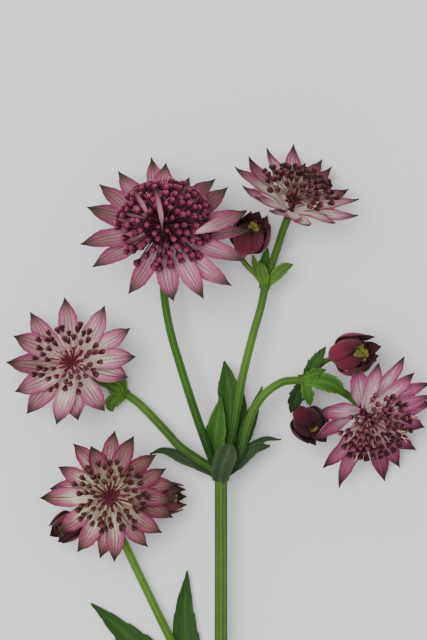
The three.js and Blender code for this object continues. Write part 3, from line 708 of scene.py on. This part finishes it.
# axis is the way the head faces, rise how many degrees its bracts stand up, sag how far their middles sink.
# Each bract is its bearing seen from above, its share of the head's bract length and, where it is known,
# its mood. The rest are dullest at the bearing in dull, with its second number's share of the change.
heads = {
    "top_left": dict(
        base=(-14.5, 162.3, 16), axis=(-0.03, 0.515, 0.857), length=21, width=5.1, rise=9,
        dull=(120, 0.6),
        bracts=[
            (99, 1.03, -0.4), (87, 0.93, -0.2), (64, 0.82, 0.7), (43, 0.94, 1), (33, 0.98, 0.9),
            (11, 1.04, 0.4), (-1, 1.04, 0.4), (-22, 1.11, 0), (-40, 1.18, -0.5), (-60, 1.14, -0.7),
            (-81, 1.02, -0.2), (-117, 1, 0.2), (-152, 0.97, 0.3), (-168, 1.01, 0.6), (163, 0.97, 1),
            (145, 1, 0.6), (127, 1, 0.1),
        ],
        colours=dict(
            foot=(156, 122, 122), pale=(198, 160, 168), blush=(176, 112, 136), margin=(138, 62, 94),
            tip=(46, 44, 30), vein=(84, 34, 54), pale_to=0.4, back=(166, 130, 124),
        ),
    ),
    "top_right": dict(
        base=(17, 167.5, 10.105), axis=(0.306, 0.79, 0.52), length=19, width=4.6, rise=28, sag=1.4,
        dull=(80, 0.4),
        bracts=[
            (178, 0.96), (167, 1.06), (147, 0.94), (131, 0.97), (99, 1.09), (76, 0.84), (51, 1.01),
            (32, 0.95), (3, 0.9), (-11, 0.95), (-25, 0.96), (-45, 0.9), (-78, 1), (-110, 1), (-140, 1),
            (-165, 1),
        ],
        colours=dict(
            foot=(170, 152, 138), pale=(226, 214, 196), blush=(188, 112, 140), margin=(138, 58, 90),
            tip=(46, 38, 30), vein=(90, 40, 60), pale_to=0.54, back=(160, 84, 104), dusk=0.3,
        ),
    ),
    "mid_right": dict(
        base=(35, 119, 8), axis=(0.403, -0.5, 0.765), length=18.2, width=4.8, rise=21, dull=(-110, 0.7),
        bracts=[
            (65, 1.14), (51, 0.99), (33, 1.04), (25, 1), (15, 1), (-6, 0.94), (-32, 1.02), (-58, 1.03),
            (-77, 1.12), (-106, 0.75), (-117, 1.13), (-138, 1), (-161, 0.9), (167, 0.99), (106, 1.03),
            (86, 1.08),
        ],
        colours=dict(
            foot=(160, 132, 126), pale=(222, 190, 196), blush=(184, 104, 138), margin=(142, 52, 94),
            tip=(40, 28, 26), vein=(106, 42, 72), pale_to=0.44, back=(176, 124, 134), dusk=0.15,
        ),
    ),
    "mid_left": dict(
        base=(-36.4, 129.4, 8), axis=(-0.195, 0.28, 0.94), length=17, width=5.3, rise=19.4,
        dull=(150, 0.4),
        bracts=[
            (96, 1.05), (58, 1.03), (29, 1.06), (3, 1.07), (-15, 0.94), (-55, 1.04), (-83, 0.95),
            (-102, 1.05), (-130, 1.06), (-151, 1), (-179, 1.03), (157, 1.03), (130, 1.06),
        ],
        colours=dict(
            foot=(144, 132, 108), pale=(208, 196, 178), blush=(182, 120, 142), margin=(140, 66, 96),
            tip=(42, 36, 30), vein=(84, 42, 54), pale_to=0.46, back=(164, 134, 118),
        ),
    ),
    "low_left": dict(
        base=(-28.4, 97.6, 11), axis=(0.13, -0.05, 0.99), length=16.7, width=4.6, rise=15, dull=(40, 0.6),
        bracts=[
            (85, 1.02), (68, 1.02), (41, 0.97), (26, 0.99), (10, 1.06), (-5, 1), (-19, 1.05), (-35, 1.01),
            (-53, 1), (-86, 1.03), (-98, 0.97), (-120, 1.01), (-144, 0.95), (-179, 1.1), (173, 0.92),
            (150, 0.93), (124, 0.98), (110, 0.84),
        ],
        colours=dict(
            foot=(138, 136, 106), pale=(208, 202, 174), blush=(160, 96, 114), margin=(118, 42, 68),
            tip=(38, 36, 22), vein=(72, 34, 42), pale_to=0.44, back=(150, 122, 104),
        ),
    ),
}

# How high on its head's axis each whorl of bracts springs, and how far out from it.
OUTER_ROOT, INNER_ROOT, FOOT_OUT = 0.35, 1.15, 0.8
bract_shades = {}
for number, (name, head) in enumerate(heads.items()):
    seed = 10 * number
    base, axis = head["base"], unit(head["axis"])
    shade = bract_shades[name] = bract_matter("bract_" + name, **head["colours"])
    star = []
    for n, (bearing, share, *own_mood) in enumerate(head["bracts"]):
        x, y = math.cos(math.radians(bearing)), math.sin(math.radians(bearing))
        outward = unit((x, y, -(x * axis[0] + y * axis[1]) / axis[2]))
        # Every second bract belongs to the inner whorl, which stands up more.
        inside = n % 2
        reach = head["length"] * share
        slope = math.radians(head["rise"] + (1.5 if inside else -1.5) + 1.2 * draw(seed + 1, n))
        root = INNER_ROOT if inside else OUTER_ROOT
        bow = np.cross(axis, outward) * 0.9 * draw(seed + 5, n)
        curl = axis * (0.5 + 0.7 * draw(seed + 6, n) + head.get("sag", 0))

        def centre(s):
            s = s[:, None]
            return (
                base
                + outward * (FOOT_OUT + (reach * math.cos(slope) - FOOT_OUT) * s)
                + axis * (root * (1 - s) + reach * (math.sin(slope) * s + 0.2 * s * (1 - s) ** 2))
                + bow * np.sin(np.pi * s) + curl * (s**3 - s**2) * 3
            )

        half = head["width"] / 2 * (1 + 0.1 * draw(seed + 2, n))
        dull_at, dull = head["dull"]
        usual = dull * math.cos(math.radians(bearing - dull_at)) + (1 - dull) * draw(seed + 8, n)
        star.append(bent_bract(
            half, centre, axis, lift=0.34 if inside else 0.2, twist=0.3 * draw(seed + 4, n),
            mood=own_mood[0] if own_mood else usual, shade=shade, wave=3 * draw(seed + 7, n),
        ))
    line = [base - axis * 0.9, base + axis * 1.5]
    disc = stalk(line, lambda s: 1.15 + 1.35 * s, ribs=8, sides=32, steps=10)
    disc.data.materials.append(cushion)
    mark(disc, "cut", 0)
    settled(joined([disc] + star), "bracts_" + name)

# OPEN HEADS, FLORETS. A dense dome of tiny flowers on thin pale stalks: each has a ribbed ovary, five
# bristle pointed sepals and petals curled in to a knob. Short crimson young ones stand in the middle.
STALK_TOP, STYLE_TOP = 10, 14.3


def small_flower(kind):
    """One upright pattern flower: plain, open with its two styles out, or young and thin."""
    sizes = (0.17, 0.3, 0.45, 0.42) if kind == "young" else (0.14, 0.7, 0.88, 0.78)
    thin, ovary_wide, knob_wide, reach = sizes
    line = [(0, 0, 0), (0, 0, 5), (0, 0, STALK_TOP)]
    parts = [stalk(line, lambda s: thin + 0.06 * s, ribs=0, sides=6, steps=6, furrow=0)]
    bpy.ops.mesh.primitive_uv_sphere_add(segments=10, ring_count=5, radius=1)
    ovary = bpy.context.object
    co = places(ovary)
    ribbed = ovary_wide * (1 + 0.14 * np.cos(5 * np.arctan2(co[:, 1], co[:, 0])))
    put(ovary, np.stack([co[:, 0] * ribbed, co[:, 1] * ribbed, STALK_TOP + 0.55 + co[:, 2] * 0.8], 1))
    bpy.ops.mesh.primitive_uv_sphere_add(segments=20, ring_count=9, radius=1)
    knob = bpy.context.object
    co = places(knob)
    angle, out = np.arctan2(co[:, 1], co[:, 0]), np.hypot(co[:, 0], co[:, 1])
    lobed = knob_wide * (1 + 0.13 * np.cos(5 * angle) * np.clip(out * 1.4, 0, 1))
    dimple = np.where(co[:, 2] > 0, 0.34 * np.exp(-((out / 0.34) ** 2)), 0)
    level = STALK_TOP + 1.35 + co[:, 2] * 0.92 - dimple
    put(knob, np.stack([co[:, 0] * lobed, co[:, 1] * lobed, level], 1))
    parts += [ovary, knob]
    for part in parts:
        mark(part, "height", np.clip(places(part)[:, 2] / STYLE_TOP, 0, 1))
        mark(part, "seam", 0)
    mark(knob, "seam", np.clip((0.5 - 0.5 * np.cos(5 * angle)) * out * 1.5, 0, 1))
    for k in range(5):
        turn = 2 * math.pi * (k + 0.5) / 5
        bpy.ops.mesh.primitive_cone_add(
            vertices=4, radius1=0.14, depth=1.15, rotation=(0, 0.12, turn),
            location=(reach * math.cos(turn), reach * math.sin(turn), STALK_TOP + 1.55),
        )
        parts.append(bpy.context.object)
        mark(parts[-1], "height", 10.8 / STYLE_TOP)
    for k in range(2 if kind == "open" else 0):
        turn = 2.2 * k + 0.4
        c, d = math.cos(turn), math.sin(turn)
        z = STALK_TOP + 1.9
        line = [(0.1 * c, 0.1 * d, z), (0.3 * c, 0.3 * d, z + 1.6), (0.9 * c, 0.9 * d, z + 3)]
        parts.append(stalk(line, lambda s: 0.08 + 0.05 * (s > 0.9), ribs=0, sides=4, steps=6, furrow=0))
        mark(parts[-1], "height", 1)
    flower = joined(parts)
    bpy.ops.object.transform_apply()
    bpy.ops.object.shade_smooth()
    return flower


def floret_matter(name, foot, stick, ovary, knob, painted_knob_highlight, style, young):
    """Colours by height up the flower, with a painted highlight on the knob's top, then its seams, its
    tone, at random and partly painted light, and the young ones' colour.
    """
    made, tree, shader = matter(name, sheen=0.05)
    top = STYLE_TOP
    # Up the flower the knob is its own colour on its sides and lighter on its top: a painted highlight.
    body = ramp(tree, seen(tree, "height"), [
        (0, foot), (3.8 / top, foot), (6.4 / top, stick), (9.3 / top, stick), (10.2 / top, ovary),
        (10.9 / top, knob), (11.6 / top, knob), (12.0 / top, painted_knob_highlight), (12.9 / top, style),
    ])
    seam = ramp(tree, seen(tree, "seam"), [(0.15, 0), (0.85, 0.75)])
    body = mixed(tree, seam, body, tuple(0.8 * part for part in knob))
    grain = speckle(tree, 1500, 2)
    mottle = ramp(tree, grain, [(0.3, (0.66, 0.62, 0.64, 1)), (0.7, (1.3, 1.26, 1.26, 1))])
    body = mixed(tree, 1, body, mottle, "MULTIPLY")
    own = [(0, (0.6, 0.56, 0.58, 1)), (0.5, 1), (1, (1.35, 1.4, 1.3, 1))]
    body = mixed(tree, 1, body, ramp(tree, seen(tree, "tone"), own), "MULTIPLY")
    body = mixed(tree, times(tree, seen(tree, "young"), 0.9), body, young)
    coat(tree, shader, body, grain, depth=0.00015, smooth=0.38, rough=0.56)
    return made


patterns = {kind: small_flower(kind) for kind in ("plain", "open", "young")}
golden_angle = math.pi * (3 - math.sqrt(5))


def head_of_florets(
    name, seed, base, axis, count, inner, outer, lean, knob, core, colours,
    young=0, start=0, open_to=0, open_share=0, middle=None, crater=0, lit=0, tinted=0,
):
    """Young florets, then count more that stand from start to lean degrees off the axis.

    They are inner long in the middle and outer long at the rim. knob is their size, core the radius and
    height of the dark heart, an egg in the foot's colour; in the biggest head its darkness is painted
    shade.
    Those within open_to radians of the axis and a share open_share of the rest show their styles. crater is
    the width in degrees of a dip round middle, lit paints light on the upper side's florets, making them
    paler, and the first few, tinted in number, have the young ones' colour.
    """
    axis = unit(axis)
    above_cushion = 1.8
    foot = base + axis * above_cushion
    wide, high = core
    shade = floret_matter("floret_" + name, **colours)

    def core_radius(s):
        """An egg, broader at the top."""
        return wide * math.sqrt(max(0.02, 1 - (2 * s - 1) ** 2)) * (0.75 + 0.25 * s)

    # The heart: an egg of the foot's colour, toned down, filling the middle among the stalks. In the
    # biggest head it is near black: painted shade in the depth of the dense dome.
    core_line = [foot, foot + axis * 0.5 * high, foot + axis * high]
    egg = stalk(core_line, core_radius, ribs=0, sides=24, steps=14, furrow=0)
    for what, value in (("height", 0.02), ("tone", 0.35), ("young", 0), ("seam", 0)):
        mark(egg, what, value)
    egg.data.materials.append(shade)
    crowd = [egg]
    heart = foot + axis * 0.3 * high
    across = unit(np.cross((1, 0, 0), axis))
    other = np.cross(axis, across)
    low, widest = math.radians(start), math.radians(lean)
    for n in range(young + count):
        kind = "young" if n < young else "plain"
        if kind == "young":
            share = (n + 0.5) / young
            tilt = 1.25 * low * math.sqrt(share)
            length = (0.52 + 0.28 * share + 0.1 * draw(seed + 3, n)) * inner
            size = knob * (0.6 + 0.35 * share)
        else:
            k = (n - young + 0.5) / count
            tilt = math.acos(math.cos(low) + (math.cos(widest) - math.cos(low)) * k)
            grown = (tilt - low) / (widest - low)
            length = (inner + (outer - inner) * grown**0.8) * (1 + 0.06 * draw(seed + 3, n))
            size = knob * (0.88 + 0.12 * grown + 0.08 * draw(seed + 4, n))
            if draw(seed + 6, n) > 1 - 2 * open_share or tilt < open_to:
                kind = "open"
        spin = n * golden_angle + 0.12 * draw(seed + 5, n)
        way = across * math.cos(spin) + other * math.sin(spin)
        direction = axis * math.cos(tilt) + way * math.sin(tilt)
        if crater:
            near = 1 - math.degrees(math.acos(direction @ unit(middle))) / crater
            if near > 0:
                length *= 1 - 0.5 * min(1, 1.6 * near)
                size *= 1 - 0.25 * min(1, 1.6 * near)
                kind = "young" if near > 0.3 and n % 3 else kind
        tip = heart + direction * length
        knob_foot = tip - direction * 2.2 * size
        bend = heart + (axis * 0.6 + direction * 0.4) * length * 0.5
        flower = copied(patterns[kind])
        co = places(flower)
        t = np.clip(co[:, 2] / STALK_TOP, 0, 1)[:, None]
        up_stalk = heart * (1 - t) ** 2 + bend * 2 * t * (1 - t) + knob_foot * t * t
        end = unit(unit(knob_foot - bend) + axis * 0.7)
        side = unit(np.cross(end, (0.3, 0.9, 0.31)))
        third = np.cross(end, side)
        above = np.maximum(co[:, 2:] - STALK_TOP, 0) * size
        thick = np.where(co[:, 2:] <= STALK_TOP + 1e-4, 1, size)
        turn = n * 1.7
        x = co[:, :1] * math.cos(turn) - co[:, 1:2] * math.sin(turn)
        y = co[:, :1] * math.sin(turn) + co[:, 1:2] * math.cos(turn)
        put(flower, up_stalk + side * x * thick + third * y * thick + end * above)
        # Each floret's tone differs at random, and lit paints light on the upper side's florets, making
        # them paler.
        mark(flower, "tone", np.clip(0.5 + 0.45 * draw(seed + 7, n) + lit * direction[1], 0, 1))
        mark(flower, "young", kind == "young" or n < tinted)
        flower.data.materials.append(shade)
        crowd.append(flower)
    return crowd


domes = {
    # In the biggest head the near-black foot and stick colours are painted shade deep among its florets.
    "top_left": dict(
        count=150, open_share=0.06, inner=10.4, outer=13, lean=82, knob=0.98, core=(6, 5.4),
        axis=(0.09, 0.43, 0.9), middle=(-0.02, 0.1, 0.99), crater=28, lit=0.4,
        colours=dict(
            foot=(44, 8, 20), stick=(84, 24, 44), ovary=(50, 12, 26), knob=(82, 22, 46),
            painted_knob_highlight=(128, 46, 78), style=(174, 100, 116), young=(60, 10, 26),
        ),
    ),
    "top_right": dict(
        count=80, young=8, open_share=0.05, inner=9.2, outer=12, start=8, lean=57, knob=0.78,
        core=(0.8, 1.4), middle=(-0.05, 0.3, 0.95), crater=28,
        colours=dict(
            foot=(88, 12, 38), stick=(142, 122, 108), ovary=(62, 54, 38), knob=(56, 20, 26),
            painted_knob_highlight=(94, 36, 46), style=(157, 105, 106), young=(88, 14, 38),
        ),
    ),
    "mid_right": dict(
        count=92, young=16, open_to=0.3, open_share=0.03, inner=8.8, outer=12.6, start=14, lean=57,
        knob=0.8, core=(0.9, 1.5), middle=(-0.08, 0.05, 0.99), crater=22,
        colours=dict(
            foot=(86, 14, 40), stick=(186, 146, 142), ovary=(66, 36, 38), knob=(64, 18, 30),
            painted_knob_highlight=(106, 40, 60), style=(208, 164, 155), young=(92, 20, 46),
        ),
    ),
    "mid_left": dict(
        count=50, young=50, inner=8.2, outer=11.6, start=34, lean=58, knob=0.78, core=(1, 1.5),
        colours=dict(
            foot=(96, 20, 46), stick=(180, 134, 134), ovary=(60, 36, 34), knob=(58, 18, 26),
            painted_knob_highlight=(94, 36, 48), style=(194, 127, 128), young=(104, 24, 52),
        ),
    ),
    "low_left": dict(
        count=64, young=80, inner=8, outer=11.7, start=36, lean=63, knob=0.78, core=(1, 1.5),
        colours=dict(
            foot=(76, 12, 34), stick=(148, 126, 108), ovary=(66, 46, 38), knob=(58, 20, 26),
            painted_knob_highlight=(92, 40, 46), style=(181, 130, 114), young=(98, 28, 48),
        ),
    ),
}

# Narrow pale bracts stand among the florets of the biggest head, and a broad one, the last, arches over.
# Each has its width and its middle line.
inner_bracts = [
    (1.35, [(-14.5, 163.4, 24), (-15, 168, 29.2), (-16.4, 174.4, 28.8)]),
    (1.2, [(-17.5, 166, 25), (-19.2, 169.4, 29), (-21.8, 173.8, 27.4)]),
    (3.3, [(-8.2, 162.2, 24.6), (-5, 163.3, 27.4), (0.5, 165.4, 26.4), (6.4, 168.5, 23.2)]),
]
pale_shade = bract_matter(
    "inner_bract", foot=(160, 116, 122), pale=(172, 124, 132), blush=(138, 82, 100), margin=(108, 50, 72),
    tip=(54, 42, 34), vein=(74, 32, 46), pale_to=0.5, back=(160, 120, 118), dusk=0.45,
)
for number, (name, dome) in enumerate(domes.items()):
    faces = dome.pop("axis", heads[name]["axis"])
    crowd = head_of_florets(name, 10 * number, heads[name]["base"], faces, **dome)
    for n, (width, points) in enumerate(inner_bracts if name == "top_left" else []):
        crowd.append(bent_bract(
            width / 2, place_on(smooth_line(points, 40)), (0.1, 0.3, 0.95), lift=0.25, twist=0,
            mood=-0.5 + 0.6 * n, shade=bract_shades[name] if n == 2 else pale_shade, slim_foot=True,
        ))
    settled(joined(crowd), "florets_" + name)

# BUDS. Heads that are still cupped: dark maroon bracts bulge and close round yellow green florets. One
# lies against the lower head, paler, since its bracts have begun to open.
light_bud = bract_matter(
    "bud_light", foot=(70, 48, 34), pale=(96, 48, 50), blush=(90, 28, 42), margin=(60, 14, 22),
    tip=(44, 20, 22), vein=(40, 6, 16), pale_to=0.3, back=(116, 32, 54), dusk=0,
)
dark_bud = bract_matter(
    "bud_dark", foot=(36, 20, 14), pale=(54, 16, 24), blush=(50, 10, 20), margin=(34, 8, 14),
    tip=(28, 12, 14), vein=(20, 4, 8), pale_to=0.3, back=(80, 20, 36), dusk=0,
)
opening_bud = bract_matter(
    "bud_opening", foot=(110, 84, 76), pale=(122, 78, 80), blush=(100, 46, 58), margin=(76, 34, 42),
    tip=(56, 32, 30), vein=(52, 22, 26), pale_to=0.36, back=(122, 76, 80),
)
bud_dome = dict(
    count=30, lean=26, knob=0.84, core=(1.3, 2.4),
    colours=dict(
        foot=(40, 51, 13), stick=(120, 116, 62), ovary=(93, 90, 48), knob=(40, 12, 14),
        painted_knob_highlight=(70, 28, 32), style=(146, 146, 50), young=(124, 122, 58),
    ),
)
buds = {
    "top": dict(
        base=(5.6, 158.5, 3.5), axis=(0.26, 0.6, 0.76), length=12.5, radius=5, bracts=8,
        shade=light_bud, tinted=5,
    ),
    "right": dict(
        base=(28.5, 131.75, 6.5), axis=(0.64, 0.15, 0.75), length=13, radius=5.3, bracts=9,
        shade=light_bud, tinted=13,
    ),
    "mid": dict(
        base=(19.9, 118.1, 5.2), axis=(0.4, -0.5, 0.77), length=10.5, radius=4.7, bracts=8,
        shade=dark_bud, tinted=3,
    ),
    "low_left": dict(
        base=(-35.7, 91.5, 4.8), axis=(-0.59, -0.4, 0.7), length=8.6, radius=3.9, bracts=7,
        shade=light_bud, tinted=2,
    ),
    "low_right": dict(
        base=(-19.5, 96.25, 4.4), axis=(0.9, 0.05, 0.36), length=10.4, radius=4.4, bracts=8,
        shade=opening_bud, tinted=6,
    ),
}
for number, (name, bud) in enumerate(buds.items()):
    seed = 100 + 10 * number
    base, axis = bud["base"], unit(bud["axis"])
    first = unit(np.cross((0, 0, 1), axis))
    second = np.cross(axis, first)
    width = 2.2 * math.pi * bud["radius"] / bud["bracts"]
    cup = []
    for n in range(bud["bracts"]):
        inside = n % 2
        turn = 2 * math.pi * (n + 0.2 * draw(seed, n)) / bud["bracts"]
        outward = first * math.cos(turn) + second * math.sin(turn)
        bulge = bud["radius"] - 0.9 * inside
        reach = bud["length"] * (1 + 0.06 * draw(seed + 1, n))
        root = INNER_ROOT if inside else OUTER_ROOT

        def cup_centre(s):
            s = s[:, None]
            return (
                base
                + outward * (0.4 + (bulge - 0.4) * np.sin(np.pi * s**0.75 * 0.78))
                + axis * (root + reach * s * (0.55 + 0.45 * s))
            )

        cup.append(bent_bract(
            width / 2, cup_centre, -outward, lift=0.32, twist=0.2 * draw(seed + 4, n),
            mood=draw(seed + 8, n), shade=bud["shade"],
        ))
    line = [base - axis * 0.8, base + axis * 1.4]
    disc = stalk(line, lambda s: 0.85 + 1.4 * s, ribs=8, sides=24, steps=8)
    disc.data.materials.append(pale_stem)
    mark(disc, "cut", 0)
    settled(joined([disc] + cup), "bud_bracts_" + name)
    crowd = head_of_florets(
        "bud_" + name, seed, base, axis, inner=bud["length"] * 0.6, outer=bud["length"] * 0.62,
        tinted=bud["tinted"], **bud_dome,
    )
    settled(joined(crowd), "bud_florets_" + name)

# The patterns have served, and aren't part of the spray.
only(pattern_bract, *patterns.values())
bpy.ops.object.delete()

# THE SURFACE AND THE LIGHT. The spray lies on a pale matt grey sheet under soft, even daylight.
# The sheet lies a hair under the lowest looks, which pass the floor by less than a fifth of a millimetre.
bpy.ops.mesh.primitive_plane_add(size=6, location=(0, 0, -0.2 * MILLIMETRE))
table = bpy.context.object
table.name = "grey_sheet"
sheet_matter, tree, shader = matter("grey_sheet")
tone = ramp(tree, speckle(tree, 3, 1), [(0.3, (218, 219, 219)), (0.7, (224, 224, 224))])
coat(tree, shader, tone, speckle(tree, 700), depth=0.00003, smooth=0.86, rough=0.94)
table.data.materials.append(sheet_matter)

world = bpy.data.worlds.new("daylight")
bpy.context.scene.world = world
world.use_nodes = True
sky = world.node_tree.nodes["Background"]
sky.inputs["Color"].default_value = (0.95, 0.97, 1, 1)
sky.inputs["Strength"].default_value = 0.84
lean = (math.radians(-7.5), math.radians(-15), 0)
bpy.ops.object.light_add(type="AREA", location=(-0.3, 0.15, 1.1), rotation=lean)
window = bpy.context.object
window.data.energy = 15
window.data.size = 0.8

# The camera looks straight down on the middle of the photo's picture, from far above. It sees 160 mm of
# the plane of the blooms along the picture's height, so the cut end falls outside, as in the photo.
SENSOR, SEEN, ABOVE_BLOOMS, BLOOMS = 36, 160, 1400, 10
middle_x, middle_y = -1.875 * MILLIMETRE, 141.25 * MILLIMETRE
bpy.ops.object.camera_add(location=(
    under_cut_end[0] + middle_x, under_cut_end[1] + middle_y, (ABOVE_BLOOMS + BLOOMS) * MILLIMETRE,
))
camera = bpy.context.object
camera.data.lens = SENSOR * ABOVE_BLOOMS / SEEN
bpy.context.scene.camera = camera
